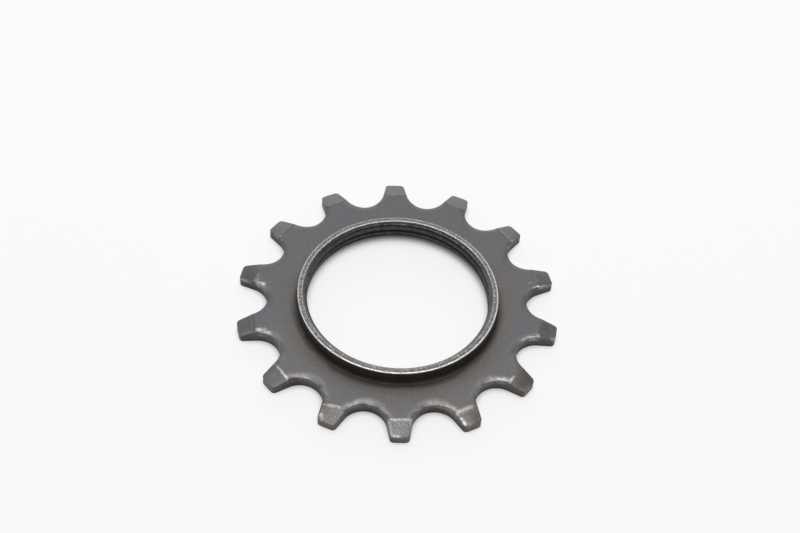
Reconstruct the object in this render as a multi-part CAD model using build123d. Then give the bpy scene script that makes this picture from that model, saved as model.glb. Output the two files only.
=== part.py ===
from build123d import *
from math import cos, pi, sin, sqrt, tan, radians
import os

# Bicycle sprocket with fourteen teeth and a threaded collar, one piece of steel, in millimetres.
# The origin is on the bore axis in the plane of the underside, with +Z up through the collar.

# Chain and tooth form
TEETH = 14
CHAIN_PITCH = 12.7
SEAT_RADIUS = 4.17
FLANK_ANGLE = 22.6
TIP_ABOVE_PITCH_LINE = 1.73
TIP_CORNER_RADIUS = 0.72

# Toothed plate
PLATE_THICKNESS = 2.45
ROLL_WIDTH = 1.5
ROLL_DEPTH = 0.3
ROLL_TAPER = 1.5

# Turned bevel on the upper side of the teeth
BEVEL_WIDTH = 3.14
BEVEL_DEPTH = 0.79

# Collar that spaces the next sprocket
COLLAR_WALL = 1.36
COLLAR_RISE = 2.45
COLLAR_FOOT_RADIUS = 0.8
COLLAR_EDGE_BREAK = 0.12

# Bore, at the major radius of its thread of 34.8 mm
BORE_RADIUS = 17.4
MOUTH_BEVEL = 0.39
LEAD_IN_DEPTH = 1.25

# Overlap that lets a cutter reach past the face it cuts
CUT_MARGIN = 1.0

pitch_radius = CHAIN_PITCH / (2 * sin(pi / TEETH))
tip_radius = pitch_radius + TIP_ABOVE_PITCH_LINE
collar_radius = BORE_RADIUS + COLLAR_WALL
collar_top = PLATE_THICKNESS + COLLAR_RISE


# Edge of one gap from tip to tip, with the gap's centre line along +X
def gap_edge():
    flank = radians(FLANK_ANGLE)
    touch_x = pitch_radius - SEAT_RADIUS * sin(flank)
    touch_y = SEAT_RADIUS * cos(flank)
    outer_x = tip_radius + CUT_MARGIN
    outer_y = touch_y + (outer_x - touch_x) * tan(flank)
    root_x = pitch_radius - SEAT_RADIUS
    with BuildLine() as edge:
        Line((outer_x, -outer_y), (touch_x, -touch_y))
        ThreePointArc((touch_x, -touch_y), (root_x, 0), (touch_x, touch_y))
        Line((touch_x, touch_y), (outer_x, outer_y))
    return edge.wires()[0]


# Flat outline of all the teeth, with their tip corners rounded
def toothed_outline():
    edge = gap_edge()
    gap = make_face(edge.edges() + [Line(edge @ 1, edge @ 0)])
    with BuildSketch() as outline:
        Circle(tip_radius)
        with PolarLocations(0, TEETH):
            add(gap, mode=Mode.SUBTRACT)
        tip_corners = outline.vertices().filter_by(on_tip_circle)
        fillet(tip_corners, TIP_CORNER_RADIUS)
    return outline.sketch


# True for a corner that lies on the tip circle
def on_tip_circle(corner):
    return abs(sqrt(corner.X**2 + corner.Y**2) - tip_radius) < TIP_CORNER_RADIUS / 10


# Ring of waste behind one gap's root, over the curve that the punch pulled the plate down to.
# Its axis lies inward of the seat's, so that the roll is deepest at the root and runs out on the flanks.
def roll_waste():
    root = SEAT_RADIUS - ROLL_TAPER
    rim = root + ROLL_WIDTH
    low = PLATE_THICKNESS - ROLL_DEPTH
    roof = PLATE_THICKNESS + CUT_MARGIN
    with BuildSketch(Plane.XZ) as section:
        with BuildLine():
            TangentArc((rim, PLATE_THICKNESS), (root, low), tangent=(-1, 0))
            Polyline((root, low), (0, low), (0, roof), (rim, roof), (rim, PLATE_THICKNESS))
        make_face()
    return Pos(pitch_radius - ROLL_TAPER, 0, 0) * revolve(section.sketch, Axis.Z)


# Stamped plate, rolled down behind each gap's root where the punch entered
def stamped_plate():
    plate = extrude(toothed_outline(), PLATE_THICKNESS)
    return plate - PolarLocations(0, TEETH) * roll_waste()


# Ring of waste that turning takes off the upper side of the teeth
def tooth_bevel_waste():
    slope = BEVEL_DEPTH / BEVEL_WIDTH
    inner = tip_radius - BEVEL_WIDTH - CUT_MARGIN
    outer = tip_radius + CUT_MARGIN
    inner_height = PLATE_THICKNESS + CUT_MARGIN * slope
    outer_height = PLATE_THICKNESS - BEVEL_DEPTH - CUT_MARGIN * slope
    roof = PLATE_THICKNESS + CUT_MARGIN
    section = Polygon((inner, inner_height), (outer, outer_height), (outer, roof), (inner, roof), align=None)
    return revolve(Plane.XZ * section, Axis.Z)


# Collar with a rounded foot and a broken outer edge, solid until it is bored
def collar_blank():
    foot_edge = collar_radius + COLLAR_FOOT_RADIUS
    foot_top = PLATE_THICKNESS + COLLAR_FOOT_RADIUS
    foot_middle = COLLAR_FOOT_RADIUS * (1 - sqrt(0.5))
    with BuildSketch(Plane.XZ) as section:
        with BuildLine():
            Polyline((0, 0), (foot_edge, 0), (foot_edge, PLATE_THICKNESS))
            ThreePointArc(
                (foot_edge, PLATE_THICKNESS),
                (collar_radius + foot_middle, PLATE_THICKNESS + foot_middle),
                (collar_radius, foot_top),
            )
            Polyline(
                (collar_radius, foot_top),
                (collar_radius, collar_top - COLLAR_EDGE_BREAK),
                (collar_radius - COLLAR_EDGE_BREAK, collar_top),
                (0, collar_top),
                (0, 0),
            )
        make_face()
    return revolve(section.sketch, Axis.Z)


# Bore with a short mouth bevel above and a deep lead-in cone below, both at 45 degrees
def bore_waste():
    floor = -CUT_MARGIN
    roof = collar_top + CUT_MARGIN
    section = Polygon(
        (0, floor),
        (BORE_RADIUS + LEAD_IN_DEPTH + CUT_MARGIN, floor),
        (BORE_RADIUS, LEAD_IN_DEPTH),
        (BORE_RADIUS, collar_top - MOUTH_BEVEL),
        (BORE_RADIUS + MOUTH_BEVEL + CUT_MARGIN, roof),
        (0, roof),
        align=None,
    )
    return revolve(Plane.XZ * section, Axis.Z)


# The whole sprocket, in the order that it is made: stamped, turned, then bored
def make_sprocket():
    return stamped_plate() - tooth_bevel_waste() + collar_blank() - bore_waste()


os.makedirs("parts", exist_ok=True)
export_step(make_sprocket(), "parts/sprocket.step")
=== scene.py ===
import bpy
from math import cos, pi, radians, sin
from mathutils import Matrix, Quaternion, Vector


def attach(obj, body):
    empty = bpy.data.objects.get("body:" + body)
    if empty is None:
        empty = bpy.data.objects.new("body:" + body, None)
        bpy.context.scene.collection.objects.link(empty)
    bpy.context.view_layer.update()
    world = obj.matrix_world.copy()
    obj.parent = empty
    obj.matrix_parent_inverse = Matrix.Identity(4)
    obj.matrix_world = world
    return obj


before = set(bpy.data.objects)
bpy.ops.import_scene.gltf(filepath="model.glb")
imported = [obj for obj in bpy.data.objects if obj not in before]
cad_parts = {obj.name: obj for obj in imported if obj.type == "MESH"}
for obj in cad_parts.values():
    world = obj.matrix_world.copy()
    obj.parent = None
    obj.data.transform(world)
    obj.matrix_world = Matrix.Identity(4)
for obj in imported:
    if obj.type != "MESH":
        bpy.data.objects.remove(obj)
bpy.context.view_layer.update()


# Sprocket: one piece of steel, stamped with its teeth, turned, threaded and blackened in hot oxide.
# The black has gone grey and brown, and where chain, tools and other sprockets rubbed, steel shows.
# The finish is worked out in millimetres, from the same sizes as the solid.
TEETH = 14
CHAIN_PITCH = 12.7
PITCH_RADIUS = CHAIN_PITCH / (2 * sin(pi / TEETH))
SEAT_RADIUS = 4.17
FLANK_ANGLE = radians(22.6)
TIP_ABOVE_PITCH_LINE = 1.73
TIP_RADIUS = PITCH_RADIUS + TIP_ABOVE_PITCH_LINE
BEVEL_WIDTH = 3.14
BEVEL_START = TIP_RADIUS - BEVEL_WIDTH
PLATE_TOP = 2.45
COLLAR_TOP = 4.9
COLLAR_RADIUS = 18.76
MOUTH_RADIUS = 17.79
EDGE_ROUNDING = 0.2
RINGS_PER_MM = 9
RING_BREAKS_PER_RADIAN = 6
BANDS_PER_MM_OF_HEIGHT = 3


class Field:
    """A number that varies over a surface, held as one output of the material's nodes."""

    def __init__(self, tree, socket):
        self.tree = tree
        self.socket = socket

    def work(self, operation, *others):
        made = self.tree.nodes.new("ShaderNodeMath")
        made.operation = operation
        self.tree.links.new(self.socket, made.inputs[0])
        for place, other in enumerate(others, start=1):
            if isinstance(other, Field):
                self.tree.links.new(other.socket, made.inputs[place])
            else:
                made.inputs[place].default_value = other
        return Field(self.tree, made.outputs[0])

    def __add__(self, other):
        return self.work("ADD", other)

    def __sub__(self, other):
        return self.work("SUBTRACT", other)

    def __mul__(self, other):
        return self.work("MULTIPLY", other)

    def __truediv__(self, other):
        return self.work("DIVIDE", other)

    def size(self):
        return self.work("ABSOLUTE")

    def root(self):
        return self.work("SQRT")

    def squared(self):
        return self * self

    def over(self, limit):
        return self.work("GREATER_THAN", limit)

    def ramp(self, low, high):
        """0 where the number is at low, 1 where it is at high, and smooth between; low may be the larger."""
        made = self.tree.nodes.new("ShaderNodeMapRange")
        made.interpolation_type = "SMOOTHSTEP"
        self.tree.links.new(self.socket, made.inputs["Value"])
        made.inputs["From Min"].default_value = low
        made.inputs["From Max"].default_value = high
        return Field(self.tree, made.outputs["Result"])

    def near(self, middle, half_width):
        """1 where the number is at middle, falling to 0 at half_width either side of it."""
        return (self - middle).size().ramp(half_width, 0)


def new_finish(name):
    finish = bpy.data.materials.new(name)
    finish.use_nodes = True
    tree = finish.node_tree
    return finish, tree, tree.nodes["Principled BSDF"]


def patches(tree, places, scale, detail, seed, roughness=0.5):
    """Cloudy patches from 0 to 1, about 1 / scale metres across."""
    made = tree.nodes.new("ShaderNodeTexNoise")
    made.noise_dimensions = "4D"
    made.inputs["Scale"].default_value = scale
    made.inputs["Detail"].default_value = detail
    made.inputs["Roughness"].default_value = roughness
    made.inputs["W"].default_value = seed
    tree.links.new(places, made.inputs["Vector"])
    return Field(tree, made.outputs["Fac"])


def coat(tree, under, colour, share):
    """The colour laid over what is under it, as thick as share."""
    made = tree.nodes.new("ShaderNodeMix")
    made.data_type = "RGBA"
    tree.links.new(share.socket, made.inputs["Factor"])
    if isinstance(under, tuple):
        made.inputs["A"].default_value = (*under, 1)
    else:
        tree.links.new(under, made.inputs["A"])
    made.inputs["B"].default_value = (*colour, 1)
    return made.outputs["Result"]


def in_millimetres(tree, places):
    parts = tree.nodes.new("ShaderNodeSeparateXYZ")
    tree.links.new(places, parts.inputs["Vector"])
    return [Field(tree, parts.outputs[axis]) * 1000 for axis in "XYZ"]


def edge_distance(x, y):
    """How far a point of the plate lies from the nearest gap's edge, in millimetres."""
    sector = 2 * pi / TEETH
    touch_x = PITCH_RADIUS - SEAT_RADIUS * sin(FLANK_ANGLE)
    touch_y = SEAT_RADIUS * cos(FLANK_ANGLE)
    radius = (x.squared() + y.squared()).root()
    turn = y.work("ARCTAN2", x)
    turn = turn - (turn / sector).work("ROUND") * sector
    out = radius * turn.work("COSINE")
    aside = (radius * turn.work("SINE")).size()
    from_seat = ((out - PITCH_RADIUS).squared() + aside.squared()).root() - SEAT_RADIUS
    from_flank = (aside - touch_y) * cos(FLANK_ANGLE) - (out - touch_x) * sin(FLANK_ANGLE)
    past_touch = ((out - touch_x) * cos(FLANK_ANGLE) + (aside - touch_y) * sin(FLANK_ANGLE)).over(0)
    return radius, from_seat + (from_flank - from_seat) * past_touch


def turning_marks(tree, radius, turn, z):
    """Fine rings that a lathe tool leaves, from 0 to 1, broken here and there along their way round."""
    place = tree.nodes.new("ShaderNodeCombineXYZ")
    tree.links.new((radius * RINGS_PER_MM).socket, place.inputs["X"])
    tree.links.new((turn * RING_BREAKS_PER_RADIAN).socket, place.inputs["Y"])
    tree.links.new((z * BANDS_PER_MM_OF_HEIGHT).socket, place.inputs["Z"])
    return patches(tree, place.outputs["Vector"], scale=1, detail=2, seed=5)


def rounded_normal(tree, reach):
    """The surface's normal, turned over each sharp edge as if that edge were rounded by reach metres."""
    made = tree.nodes.new("ShaderNodeBevel")
    made.samples = 8
    made.inputs["Radius"].default_value = reach
    return made.outputs["Normal"]


def away_from(tree, normal):
    """How far the surface's own normal turns from the given one, from 0 to 1."""
    made = tree.nodes.new("ShaderNodeVectorMath")
    made.operation = "DOT_PRODUCT"
    tree.links.new(normal, made.inputs[0])
    tree.links.new(tree.nodes.new("ShaderNodeNewGeometry").outputs["Normal"], made.inputs[1])
    return Field(tree, made.outputs["Value"]) * -1 + 1


def vector_work(tree, operation, first, second):
    """A vector operation on two vectors, each a node's output or three plain numbers."""
    made = tree.nodes.new("ShaderNodeVectorMath")
    made.operation = operation
    for socket, value in zip(made.inputs, (first, second)):
        if isinstance(value, bpy.types.NodeSocket):
            tree.links.new(value, socket)
        else:
            socket.default_value = value
    return made


def streak(tree, flat, start, end, reach):
    """1 along a straight line from start to end, falling to 0 at reach, all in millimetres."""
    run = Vector((*end, 0)) - Vector((*start, 0))
    from_start = vector_work(tree, "SUBTRACT", flat, (*start, 0)).outputs["Vector"]
    share = vector_work(tree, "DOT_PRODUCT", from_start, run / run.length_squared)
    along = Field(tree, share.outputs["Value"]).work("MAXIMUM", 0).work("MINIMUM", 1)
    nearest = tree.nodes.new("ShaderNodeVectorMath")
    nearest.operation = "SCALE"
    nearest.inputs[0].default_value = run
    tree.links.new(along.socket, nearest.inputs["Scale"])
    off = vector_work(tree, "DISTANCE", from_start, nearest.outputs["Vector"])
    return Field(tree, off.outputs["Value"]).ramp(reach, 0)


def tooth_streaks(tree, x, y, streaks):
    """The strongest of several streaks, each given as tooth, start, end, reach and strength.

    Teeth are counted anticlockwise from +X. Each place is how far out it lies, and how far clockwise of
    the tooth's middle.
    """
    flat = tree.nodes.new("ShaderNodeCombineXYZ")
    tree.links.new(x.socket, flat.inputs["X"])
    tree.links.new(y.socket, flat.inputs["Y"])
    strongest = None
    for tooth, start, end, reach, strength in streaks:
        way = (tooth + 0.5) * 2 * pi / TEETH
        ends = []
        for out, aside in (start, end):
            ends.append((out * cos(way) + aside * sin(way), out * sin(way) - aside * cos(way)))
        one = streak(tree, flat.outputs["Vector"], *ends, reach) * strength
        strongest = one if strongest is None else strongest.work("MAXIMUM", one)
    return strongest


blackened, tree, shader = new_finish("blackened_steel")
places = tree.nodes.new("ShaderNodeTexCoord").outputs["Object"]
x, y, z = in_millimetres(tree, places)
radius, edge = edge_distance(x, y)
turn = y.work("ARCTAN2", x)
marks = turning_marks(tree, radius, turn, z)

# Clouds, blotches, scuffs and grain, from the widest to the finest
clouds = patches(tree, places, scale=70, detail=4, seed=1)
tints = patches(tree, places, scale=110, detail=3, seed=2)
blotches = patches(tree, places, scale=260, detail=5, seed=3)
scuffs = patches(tree, places, scale=800, detail=6, seed=4, roughness=0.7)
grain = patches(tree, places, scale=4200, detail=3, seed=5, roughness=0.6)

# Where each part of the surface is: 1 on it, and 0 away from it
on_plate = z.ramp(PLATE_TOP - 1, PLATE_TOP - 0.95) * z.ramp(PLATE_TOP + 0.3, PLATE_TOP + 0.1)
on_bevel = radius.ramp(BEVEL_START - 0.1, BEVEL_START + 0.1) * on_plate
facing = tree.nodes.new("ShaderNodeSeparateXYZ")
tree.links.new(tree.nodes.new("ShaderNodeNewGeometry").outputs["Normal"], facing.inputs["Vector"])
on_walls = Field(tree, facing.outputs["Z"]).size().ramp(0.5, 0.3) * radius.ramp(20.5, 21)
on_collar_wall = radius.ramp(19.6, 18.9) * radius.over(COLLAR_RADIUS - 0.3)
on_collar_wall = on_collar_wall * z.ramp(COLLAR_TOP - 0.15, COLLAR_TOP - 0.25)
from_collar = radius + (blotches - 0.5) * 1.6 + y.ramp(-19.5, -13) * 0.5
# Dirt round the collar's foot, and painted shade cast by the collar, strongest on the near side
foot_dirt_and_shade = from_collar.ramp(21.0, 19.7) * (y.ramp(8, -12) * 0.75 + 0.15) * z.ramp(3.3, 2.9) * z.ramp(1, 2)
inside_mouth = radius.ramp(MOUTH_RADIUS + 0.02, MOUTH_RADIUS - 0.02)
below_bevel = (radius - z).ramp(MOUTH_RADIUS - COLLAR_TOP + 0.05, MOUTH_RADIUS - COLLAR_TOP + 0.2)
in_bore = inside_mouth * below_bevel.work("MAXIMUM", y.ramp(1, 10))
rounded = rounded_normal(tree, EDGE_ROUNDING / 1000)
on_edges = away_from(tree, rounded).ramp(0.01, 0.12)

# Black oxide, gone grey, with faint blue, violet and brown in it
OXIDE = (0.090, 0.090, 0.092)
OXIDE_BLUE = (0.085, 0.088, 0.095)
OXIDE_VIOLET = (0.093, 0.087, 0.094)
OXIDE_WARM = (0.091, 0.087, 0.086)
OXIDE_BROWN = (0.090, 0.079, 0.070)
OXIDE_DARK_AND_SHADE = (0.060, 0.053, 0.049)
OXIDE_PALE = (0.138, 0.137, 0.136)
colour = coat(tree, OXIDE, OXIDE_BLUE, clouds.ramp(0.45, 0.62))
colour = coat(tree, colour, OXIDE_VIOLET, tints.ramp(0.5, 0.66) * 0.7)
colour = coat(tree, colour, OXIDE_WARM, y.ramp(-8, -20) * blotches.ramp(0.3, 0.6))
browned = radius.ramp(24.5, 19.5) * blotches.ramp(0.3, 0.6) * z.ramp(4.5, 3.5)
colour = coat(tree, colour, OXIDE_BROWN, browned * (y.ramp(14, 3) * 0.6 + 0.15))
# Painted shade on the plate round the collar, darkest on the near side, and dark scuffs all over
near_side_shade_and_scuffs = radius.ramp(22.8, 20) * y.ramp(-4, -20) * 0.6 + scuffs.ramp(0.58, 0.72) * 0.3
colour = coat(tree, colour, OXIDE_DARK_AND_SHADE, near_side_shade_and_scuffs)
colour = coat(tree, colour, OXIDE_PALE, grain.ramp(0.5, 0.68) * 0.55)
colour = coat(tree, colour, OXIDE_DARK_AND_SHADE, grain.ramp(0.42, 0.3) * 0.35)

# Thick scale and old grease, dark brown, where nothing rubs it off. The same dark brown is also laid on as
# painted shade round the collar's foot, strongest on the near side, and towards the bottom of the walls
SCALE_AND_SHADE_BROWN = (0.026, 0.021, 0.018)
WALL_BROWN = (0.104, 0.091, 0.078)
BORE_BROWN = (0.043, 0.039, 0.035)
# Patchy scale on the walls, and painted shade that darkens them towards the floor
wall_dirt_and_low_shade = on_walls * (blotches.ramp(0.45, 0.65) * 0.3 + z.ramp(1.5, 0.1) * 0.5)
scale_and_painted_shade = foot_dirt_and_shade + wall_dirt_and_low_shade + on_collar_wall * 0.1
colour = coat(tree, colour, WALL_BROWN, on_walls * 0.8 + on_collar_wall * 0.7)
colour = coat(tree, colour, SCALE_AND_SHADE_BROWN, (scale_and_painted_shade * (blotches * 0.8 + 0.6)).work("MINIMUM", 1))
colour = coat(tree, colour, BORE_BROWN, in_bore * (scuffs.ramp(0.35, 0.75) * -0.6 + 1))

# Bevels, turned after the blanking, where the chain has worn the oxide thin, and a painted sheen on the far
# ones
TURNED_STEEL = (0.124, 0.118, 0.108)
PAINTED_FAR_SHEEN = (0.108, 0.112, 0.111)
bared = on_bevel * (marks.ramp(0.35, 0.7) * 0.25 + scuffs.ramp(0.42, 0.6) * 0.5)
colour = coat(tree, colour, TURNED_STEEL, bared)
# The bevels on the far side are painted paler, a painted reflection of the lit backdrop behind them
colour = coat(tree, colour, PAINTED_FAR_SHEEN, on_bevel * y.ramp(0, 15) * 0.8)
step_line = radius.near(BEVEL_START - 0.12, 0.2) * on_plate * y.ramp(-20, -14) * blotches.ramp(0.3, 0.5)
near_bevels = on_bevel * y.ramp(-18, -25)
colour = coat(tree, colour, OXIDE_DARK_AND_SHADE, near_bevels * grain.ramp(0.54, 0.38) * 0.45)
colour = coat(tree, colour, OXIDE_DARK_AND_SHADE, step_line * 0.5 + on_bevel * blotches.ramp(0.5, 0.7) * 0.25)

# Bare steel on the edges that chain, tools and the next sprocket rubbed, with painted highlights on the
# edges, rolls and rims that face the camera side
WORN_STEEL_AND_HIGHLIGHT = (0.58, 0.567, 0.548)
astray_x = x + (scuffs - 0.5) * 1.2
astray_y = y + (blotches - 0.5) * 1.2
# Streaks of bare steel, and painted highlights on the rolls and tooth corners that face the near side
rubbed_and_highlit = tooth_streaks(tree, astray_x, astray_y, [
    (0, (30.2, 1.65), (28.0, 1.9), 0.3, 0.5), (0, (28.0, 1.9), (26.0, 2.0), 0.3, 0.45),
    (0, (27.1, -1.2), (27.4, 0.8), 0.3, 0.1), (0, (25.8, 0.6), (25.85, 0.65), 0.2, 0.5),
    (1, (27.4, -1.2), (27.4, 1.5), 0.3, 0.1), (1, (28.0, 1.9), (25.5, 2.9), 0.3, 0.15),
    (2, (27.2, -1.5), (27.3, 2.0), 0.25, 0.17), (3, (27.05, -2.0), (27.05, 2.0), 0.25, 0.17),
    (4, (27.2, -1.6), (27.3, 2.0), 0.3, 0.12), (5, (28.5, -1.9), (25.7, -2.4), 0.3, 0.12),
    (6, (29.8, -1.75), (27.2, -2.3), 0.3, 0.45), (6, (26.6, -2.4), (25.4, -2.2), 0.8, 0.5),
    (6, (26.6, -1.9), (27.0, 0.0), 0.4, 0.12), (6, (25.3, -2.8), (24.8, -3.6), 0.5, 0.25),
    (7, (26.9, -2.5), (24.8, -2.7), 0.7, 0.27), (7, (26.9, -1.6), (25.6, -1.7), 0.7, 0.24),
    (7, (30.0, -1.7), (28.2, -1.6), 0.4, 0.06),
    (8, (27.15, -2.3), (27.0, 1.3), 0.4, 0.4), (8, (27.0, -2.4), (25.6, -3.0), 0.4, 0.27),
    (8, (25.6, -3.0), (24.6, -3.8), 0.4, 0.27), (8, (30.2, 1.2), (30.4, 0.8), 0.3, 0.3),
    (9, (26.7, -1.0), (27.1, 1.6), 0.5, 0.3), (9, (29.9, 0.9), (29.2, 1.3), 0.5, 0.35),
    (9, (26.5, -2.3), (24.5, -3.5), 1.3, 0.08),
    (10, (27.0, -2.0), (27.0, 2.1), 0.5, 0.36), (10, (27.2, 2.0), (29.5, 1.6), 0.4, 0.12),
    (10, (30.2, 0.2), (30.0, 1.1), 0.6, 0.22), (10, (27.0, -2.0), (28.0, -1.8), 0.4, 0.1),
    (11, (27.0, -1.4), (27.0, 1.9), 0.7, 0.27), (11, (29.5, 1.35), (28.2, 1.6), 0.5, 0.4),
    (11, (27.2, 2.0), (26.2, 2.3), 0.8, 0.22), (11, (26.2, 2.3), (24.4, 3.8), 0.7, 0.12),
    (12, (27.0, 0.4), (27.1, 2.2), 0.4, 0.26), (12, (26.6, 1.7), (25.2, 2.6), 0.8, 0.15),
    (12, (25.2, 2.6), (23.9, 4.2), 0.8, 0.1), (12, (30.1, -0.5), (30.2, 1.0), 0.6, 0.1),
    (13, (27.0, 1.7), (27.1, 2.2), 0.5, 0.4), (13, (26.8, 2.2), (25.4, 2.7), 0.5, 0.36),
    (13, (25.4, 2.7), (24.4, 3.4), 0.6, 0.15), (13, (30.2, 1.1), (29.7, 1.5), 0.5, 0.3),
])
# The collar's rims: worn steel, with a painted highlight where each rim faces the camera, the outer one on
# the near side and right, the inner one on the far side
rim_wear_and_highlight_side = y.ramp(18, -8) * 0.45 + x.ramp(4, 16) * y.ramp(14, 5) * 0.7 + 0.5
outer_rim = radius.near(COLLAR_RADIUS - 0.07, 0.24) * rim_wear_and_highlight_side
inner_rim = radius.near(MOUTH_RADIUS + 0.05, 0.2) * (y.ramp(0, 14) * 0.42 + 0.18)
rim_wear_and_highlights = (outer_rim + inner_rim) * scuffs.ramp(0.2, 0.55) + grain.ramp(0.48, 0.64) * 0.32
rim_wear_and_highlights = rim_wear_and_highlights * z.ramp(COLLAR_TOP - 0.4, COLLAR_TOP - 0.15)
mouth_bevel = inside_mouth * z.ramp(COLLAR_TOP - 0.6, COLLAR_TOP - 0.3) * y.ramp(10, 1) * 0.08
# Wear along the flank edges up to the bevels, made brighter towards the near side as a painted highlight
flank_wear_and_highlight = edge.ramp(1.6, 0.1) * radius.ramp(BEVEL_START + 0.2, BEVEL_START - 0.2) * on_plate
flank_wear_and_highlight = flank_wear_and_highlight * scuffs.ramp(0.4, 0.62) * (y.ramp(-2, -18) * 0.11 + 0.03)
tips = on_walls * radius.ramp(TIP_RADIUS - 0.5, TIP_RADIUS) * 0.08
speckle = near_bevels * grain.ramp(0.5, 0.68) * 0.13
# Worn sharp edges, made brighter towards the near side as a painted highlight
edge_wear_and_highlight = on_edges * scuffs.ramp(0.35, 0.6) * (y.ramp(-10, -24) * 0.35 + 0.3)
worn_and_highlit = rubbed_and_highlit * on_plate * scuffs.ramp(0.32, 0.58) * 1.15 + edge_wear_and_highlight + flank_wear_and_highlight + tips + speckle
worn_and_highlit = worn_and_highlit.work("MAXIMUM", rim_wear_and_highlights).work("MAXIMUM", mouth_bevel).work("MINIMUM", 1)
colour = coat(tree, colour, WORN_STEEL_AND_HIGHLIGHT, worn_and_highlit)

# Nicks, scratches and soiled patches, darker than the oxide round them
dark_marks = tooth_streaks(tree, astray_x, astray_y, [
    (8, (30.4, 0.7), (30.3, 0.95), 0.3, 0.6), (9, (29.95, 0.85), (29.8, 1.05), 0.3, 0.6),
    (9, (27.1, 1.25), (27.0, 1.5), 0.25, 0.6), (10, (30.3, 0.6), (30.1, 0.75), 0.25, 0.6),
    (11, (29.8, 1.5), (29.6, 1.65), 0.25, 0.6), (3, (26.9, 0.4), (26.8, 1.4), 0.4, 0.4),
    (7, (28.2, -1.3), (28.0, 1.8), 0.25, 0.3), (7, (27.25, -1.6), (27.15, 2.0), 0.2, 0.5),
    (6, (29.0, -0.4), (29.0, 0.8), 2.2, 0.5), (12, (29.0, -0.6), (29.0, 0.6), 2.2, 0.5),
    (11, (28.4, -0.7), (29.8, -0.7), 1.3, 0.6),
])
colour = coat(tree, colour, OXIDE_DARK_AND_SHADE, dark_marks * on_plate)

# Specks of rust about the foot of the collar
RUST = (0.21, 0.09, 0.035)
rust = tooth_streaks(tree, x, y, [
    (0, (19.95, 0.4), (19.95, 0.55), 0.3, 0.8), (13, (18.85, -4.5), (18.85, -4.4), 0.28, 0.5),
    (13, (19.15, -3.1), (19.15, -2.95), 0.3, 0.7), (13, (19.1, -2.5), (19.15, -2.4), 0.28, 0.6),
    (7, (18.95, -3.5), (18.95, -3.3), 0.3, 0.35), (7, (18.85, -4.25), (18.8, -3.95), 0.3, 0.3),
])
rust_spots = patches(tree, places, scale=1600, detail=2, seed=7)
stray_rust = rust_spots.ramp(0.68, 0.74) * radius.ramp(20.9, 20.2) * 0.6
rust = rust.work("MAXIMUM", stray_rust)
colour = coat(tree, colour, RUST, rust * radius.ramp(18.8, 18.9))
tree.links.new(colour, shader.inputs["Base Color"])

# Dirt and scale are less metallic than the oxide, and the dirt and painted shade at the collar's foot are
# duller too
grime = (foot_dirt_and_shade + on_collar_wall * 1.5 + in_bore + on_walls).work("MINIMUM", 1.5)
tree.links.new((grime * -0.35 + 1).socket, shader.inputs["Metallic"])
dull = foot_dirt_and_shade * z.ramp(3.2, 2.6)
tree.links.new((dull * -0.4 + 0.5).socket, shader.inputs["Specular IOR Level"])
tree.links.new((grain * 0.2 + clouds * 0.1 - worn_and_highlit * 0.15 + 0.33).socket, shader.inputs["Roughness"])

# The plate's edge rolls down a little along the flanks too, and the collar's outer rim stands up a little
FLANK_ROLL_WIDTH = 1.5
FLANK_ROLL_DEPTH = 0.28
RIM_LIFT_WIDTH = 0.14
RIM_LIFT_SLOPE = 0.36
ONE_MILLIMETRE = 0.001
to_edge = (edge / -FLANK_ROLL_WIDTH + 1).work("MAXIMUM", 0)
flank_roll = tree.nodes.new("ShaderNodeBump")
flank_roll.inputs["Distance"].default_value = ONE_MILLIMETRE
flank_share = radius.ramp(24.6, 27.4) * (radius.ramp(27.4, 27.0) * 0.7 + 0.3)
flank_drop = to_edge.squared() * flank_share * on_plate * -FLANK_ROLL_DEPTH
rim_lift = (radius - (COLLAR_RADIUS - RIM_LIFT_WIDTH)).work("MAXIMUM", 0) * RIM_LIFT_SLOPE
rim_lift = rim_lift * z.ramp(COLLAR_TOP - 0.3, COLLAR_TOP - 0.2)
tree.links.new((flank_drop + rim_lift).socket, flank_roll.inputs["Height"])
tree.links.new(rounded, flank_roll.inputs["Normal"])

# Fine relief of the grain, the scuffs and the turning marks
RELIEF_STRENGTH = 0.8
RELIEF_HEIGHT = 0.00003
relief = tree.nodes.new("ShaderNodeBump")
relief.inputs["Strength"].default_value = RELIEF_STRENGTH
relief.inputs["Distance"].default_value = RELIEF_HEIGHT
tree.links.new((grain * 0.5 + scuffs * 0.4 + on_bevel * marks * 0.5).socket, relief.inputs["Height"])
tree.links.new(flank_roll.outputs["Normal"], relief.inputs["Normal"])
tree.links.new(relief.outputs["Normal"], shader.inputs["Normal"])

for material_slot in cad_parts["sprocket"].material_slots:
    material_slot.material = blackened


# Thread: the helical ridge left standing in the bore when the thread was cut, 1.2 mm from turn to turn.
# It is one with the sprocket, is sunk a little into the bore wall, and runs out on both bevels.
THREAD_PITCH = 0.0012
BORE = 0.0174
CREST = 0.01701
SUNK = 0.00003
CREST_WIDTH = 0.0003
FOOT_WIDTH = 0.00082
CREST_AT_X = -0.00037
TURNS = 5
STEPS_ROUND = 120
SAME_PLACE = 1e-7
LEAD_IN_TOP = 0.00125
MOUTH_BOTTOM = 0.00451
PAST_FOOT = 0.0002
PAST_CREST = 0.001
SMOOTH_BELOW = radians(20)


def deselect_all():
    bpy.ops.object.select_all(action="DESELECT")


def only(piece):
    deselect_all()
    piece.select_set(True)
    bpy.context.view_layer.objects.active = piece


def turned_profile(name, corners):
    """A flat face with the given (radius, height) corners, standing on the +X side of the bore axis."""
    bpy.ops.mesh.primitive_circle_add(vertices=len(corners), fill_type="NGON", location=(0, 0, 0))
    piece = bpy.context.object
    piece.name = name
    for vertex, (out, height) in zip(piece.data.vertices, corners):
        vertex.co = (out, 0, height)
    return piece


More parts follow.
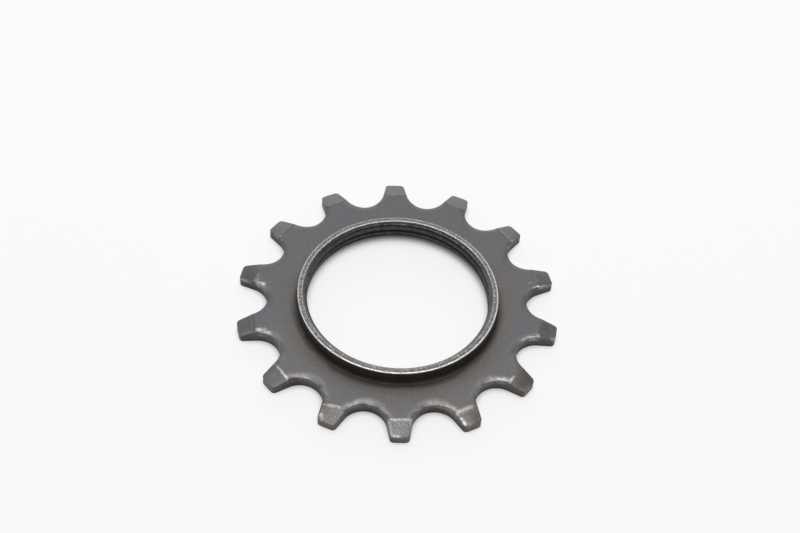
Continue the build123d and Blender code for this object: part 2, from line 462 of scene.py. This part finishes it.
def turn_about_bore(piece, turns=1, rise=0.0):
    """Sweeps the profile round the bore axis, rising by rise in each turn. With no rise, the ring closes."""
    turning = piece.modifiers.new("turning", "SCREW")
    turning.steps = STEPS_ROUND
    turning.render_steps = STEPS_ROUND
    turning.screw_offset = rise
    turning.iterations = turns
    turning.use_merge_vertices = rise == 0
    turning.merge_threshold = SAME_PLACE
    only(piece)
    bpy.ops.object.modifier_apply(modifier=turning.name)


deselect_all()
foot = BORE + SUNK
thread = turned_profile("thread", [
    (foot, CREST_AT_X - FOOT_WIDTH / 2),
    (foot, CREST_AT_X + FOOT_WIDTH / 2),
    (CREST, CREST_AT_X + CREST_WIDTH / 2),
    (CREST, CREST_AT_X - CREST_WIDTH / 2),
])
turn_about_bore(thread, TURNS, THREAD_PITCH)

# Both ends of the swept ridge are closed
bpy.ops.object.mode_set(mode="EDIT")
bpy.ops.mesh.select_all(action="DESELECT")
bpy.ops.mesh.select_mode(type="EDGE")
bpy.ops.mesh.select_non_manifold()
bpy.ops.mesh.edge_face_add()
bpy.ops.mesh.select_all(action="SELECT")
bpy.ops.mesh.normals_make_consistent(inside=False)
bpy.ops.object.mode_set(mode="OBJECT")

# Between the two bevels of the bore the ridge stays, and what runs past them is cut away
outside = foot + PAST_FOOT
inside = CREST - PAST_CREST
deselect_all()
bevelled_bore = turned_profile("bevelled_bore", [
    (outside, LEAD_IN_TOP + BORE - outside),
    (outside, MOUTH_BOTTOM + outside - BORE),
    (inside, MOUTH_BOTTOM + inside - BORE),
    (inside, LEAD_IN_TOP + BORE - inside),
])
turn_about_bore(bevelled_bore)
bpy.ops.object.mode_set(mode="EDIT")
bpy.ops.mesh.select_all(action="SELECT")
bpy.ops.mesh.normals_make_consistent(inside=False)
bpy.ops.object.mode_set(mode="OBJECT")

run_out = thread.modifiers.new("run_out", "BOOLEAN")
run_out.operation = "INTERSECT"
run_out.solver = "EXACT"
run_out.object = bevelled_bore
only(thread)
bpy.ops.object.modifier_apply(modifier=run_out.name)
deselect_all()
bevelled_bore.select_set(True)
bpy.ops.object.delete()
thread.data.materials.clear()
thread.data.materials.append(blackened)
only(thread)
bpy.ops.object.shade_smooth_by_angle(angle=SMOOTH_BELOW)
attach(thread, "root")


# Floor: seamless white paper under the sprocket, bright enough in the photograph to look almost flat.
# It is no part of the object, and keeps the sprocket's soft shadow.
PAPER_SIZE = 6
PAPER_ROUGHNESS = 0.95
WHITE = 0.955
SHADOW_DEPTH = 0.3
CONTACT_REACH = 0.0032
CONTACT_DARK = 0.08
CONTACT_LIGHT = 0.7

deselect_all()
bpy.ops.mesh.primitive_plane_add(size=PAPER_SIZE, location=(0, 0, 0))
floor = bpy.context.object
floor.name = "floor"
paper, tree, shader = new_finish("white_paper")
shader.inputs["Base Color"].default_value = (WHITE, WHITE, WHITE, 1)
shader.inputs["Roughness"].default_value = PAPER_ROUGHNESS
shader.inputs["Specular IOR Level"].default_value = 0

# What is seen or mirrored of the paper is mostly its own white glow, which ambient occlusion darkens close
# to the sprocket as a painted contact shadow
glow = tree.nodes.new("ShaderNodeEmission")
glow.inputs["Color"].default_value = (WHITE, WHITE, WHITE, 1)
corner = tree.nodes.new("ShaderNodeAmbientOcclusion")
corner.samples = 16
corner.inputs["Distance"].default_value = CONTACT_REACH
open_sky = Field(tree, corner.outputs["AO"])
tree.links.new((open_sky.ramp(CONTACT_DARK, CONTACT_LIGHT)).socket, glow.inputs["Strength"])
seen = tree.nodes.new("ShaderNodeLightPath")
seen_directly = Field(tree, seen.outputs["Is Camera Ray"]) + Field(tree, seen.outputs["Is Glossy Ray"])
seen_directly = (seen_directly + Field(tree, seen.outputs["Is Transmission Ray"])).work("MINIMUM", 1)
blend = tree.nodes.new("ShaderNodeMixShader")
tree.links.new((seen_directly * (1 - SHADOW_DEPTH)).socket, blend.inputs["Fac"])
tree.links.new(shader.outputs["BSDF"], blend.inputs[1])
tree.links.new(glow.outputs["Emission"], blend.inputs[2])
tree.links.new(blend.outputs["Shader"], tree.nodes["Material Output"].inputs["Surface"])
floor.data.materials.append(paper)


# Studio light: one softbox overhead and a little behind, a lit backdrop low behind the sprocket,
# and a pale room that is dimmer towards the camera.
LIGHT_POWER = 3.7
LIGHT_PLACE = (0.0, 0.12, 0.75)
LIGHT_SIZE = (0.42, 0.42)
BACKDROP_POWER = 3.2
BACKDROP_PLACE = (0.0, 0.9, 0.3)
BACKDROP_SIZE = (1.2, 0.4)
ROOM_FILL = 0.65
ROOM_LEAST = 0.05
ROOM_BRIGHT = 0.8
ROOM_DIM = 0.5
DIM_END = -0.6
FULL_FILL_END = 0.8
FULL_BRIGHT_END = 0.5


def add_lamp(name, power, place, size):
    lamp = bpy.data.lights.new(name, "AREA")
    lamp.shape = "RECTANGLE"
    lamp.size, lamp.size_y = size
    lamp.energy = power
    carrier = bpy.data.objects.new(name, lamp)
    bpy.context.scene.collection.objects.link(carrier)
    carrier.location = place
    carrier.rotation_euler = Vector(place).to_track_quat("Z", "Y").to_euler()


add_lamp("softbox", LIGHT_POWER, LIGHT_PLACE, LIGHT_SIZE)
add_lamp("backdrop", BACKDROP_POWER, BACKDROP_PLACE, BACKDROP_SIZE)

# The room is white where it is seen, pale where the steel mirrors it, and dimmer where it lights the rest
room = bpy.data.worlds.new("room")
room.use_nodes = True
tree = room.node_tree
walls = tree.nodes["Background"]
walls.inputs["Color"].default_value = (1, 1, 1, 1)
toward = tree.nodes.new("ShaderNodeSeparateXYZ")
tree.links.new(tree.nodes.new("ShaderNodeTexCoord").outputs["Generated"], toward.inputs["Vector"])
seen = tree.nodes.new("ShaderNodeLightPath")
mirrored = Field(tree, seen.outputs["Is Glossy Ray"])
seen_directly = Field(tree, seen.outputs["Is Camera Ray"]) + Field(tree, seen.outputs["Is Transmission Ray"])
seen_directly = seen_directly.work("MINIMUM", 1)
backwards = Field(tree, toward.outputs["Y"])
fill = backwards.ramp(DIM_END, FULL_FILL_END) * ROOM_FILL + ROOM_LEAST
pale = backwards.ramp(DIM_END, FULL_BRIGHT_END) * (ROOM_BRIGHT - ROOM_DIM) + ROOM_DIM
level = fill + (pale - fill) * mirrored
level = level + (level * -1 + WHITE) * seen_directly
tree.links.new(level.socket, walls.inputs["Strength"])
bpy.context.scene.world = room


# Camera: the photograph's own place and lens, solved from the sprocket's outline and rims.
# It looks down over the near teeth from a little left of the middle, and is rolled a few degrees.
AIM = Vector((0.000786, 0.010419, 0))
AZIMUTH = radians(-4.546)
ELEVATION = radians(49.638)
DISTANCE = 0.29018
ROLL = radians(4.601)
FOCAL_LENGTH = 67.53
SENSOR_WIDTH = 36
NEAREST_SEEN = 0.01
back = Vector((sin(AZIMUTH) * cos(ELEVATION), -cos(AZIMUTH) * cos(ELEVATION), sin(ELEVATION)))
lens = bpy.data.cameras.new("camera")
lens.lens = FOCAL_LENGTH
lens.sensor_width = SENSOR_WIDTH
lens.clip_start = NEAREST_SEEN
camera = bpy.data.objects.new("camera", lens)
bpy.context.scene.collection.objects.link(camera)
camera.location = AIM + back * DISTANCE
camera.rotation_euler = (back.to_track_quat("Z", "Y") @ Quaternion((0, 0, 1), ROLL)).to_euler()
bpy.context.scene.camera = camera
bpy.context.scene.view_settings.view_transform = "Standard"
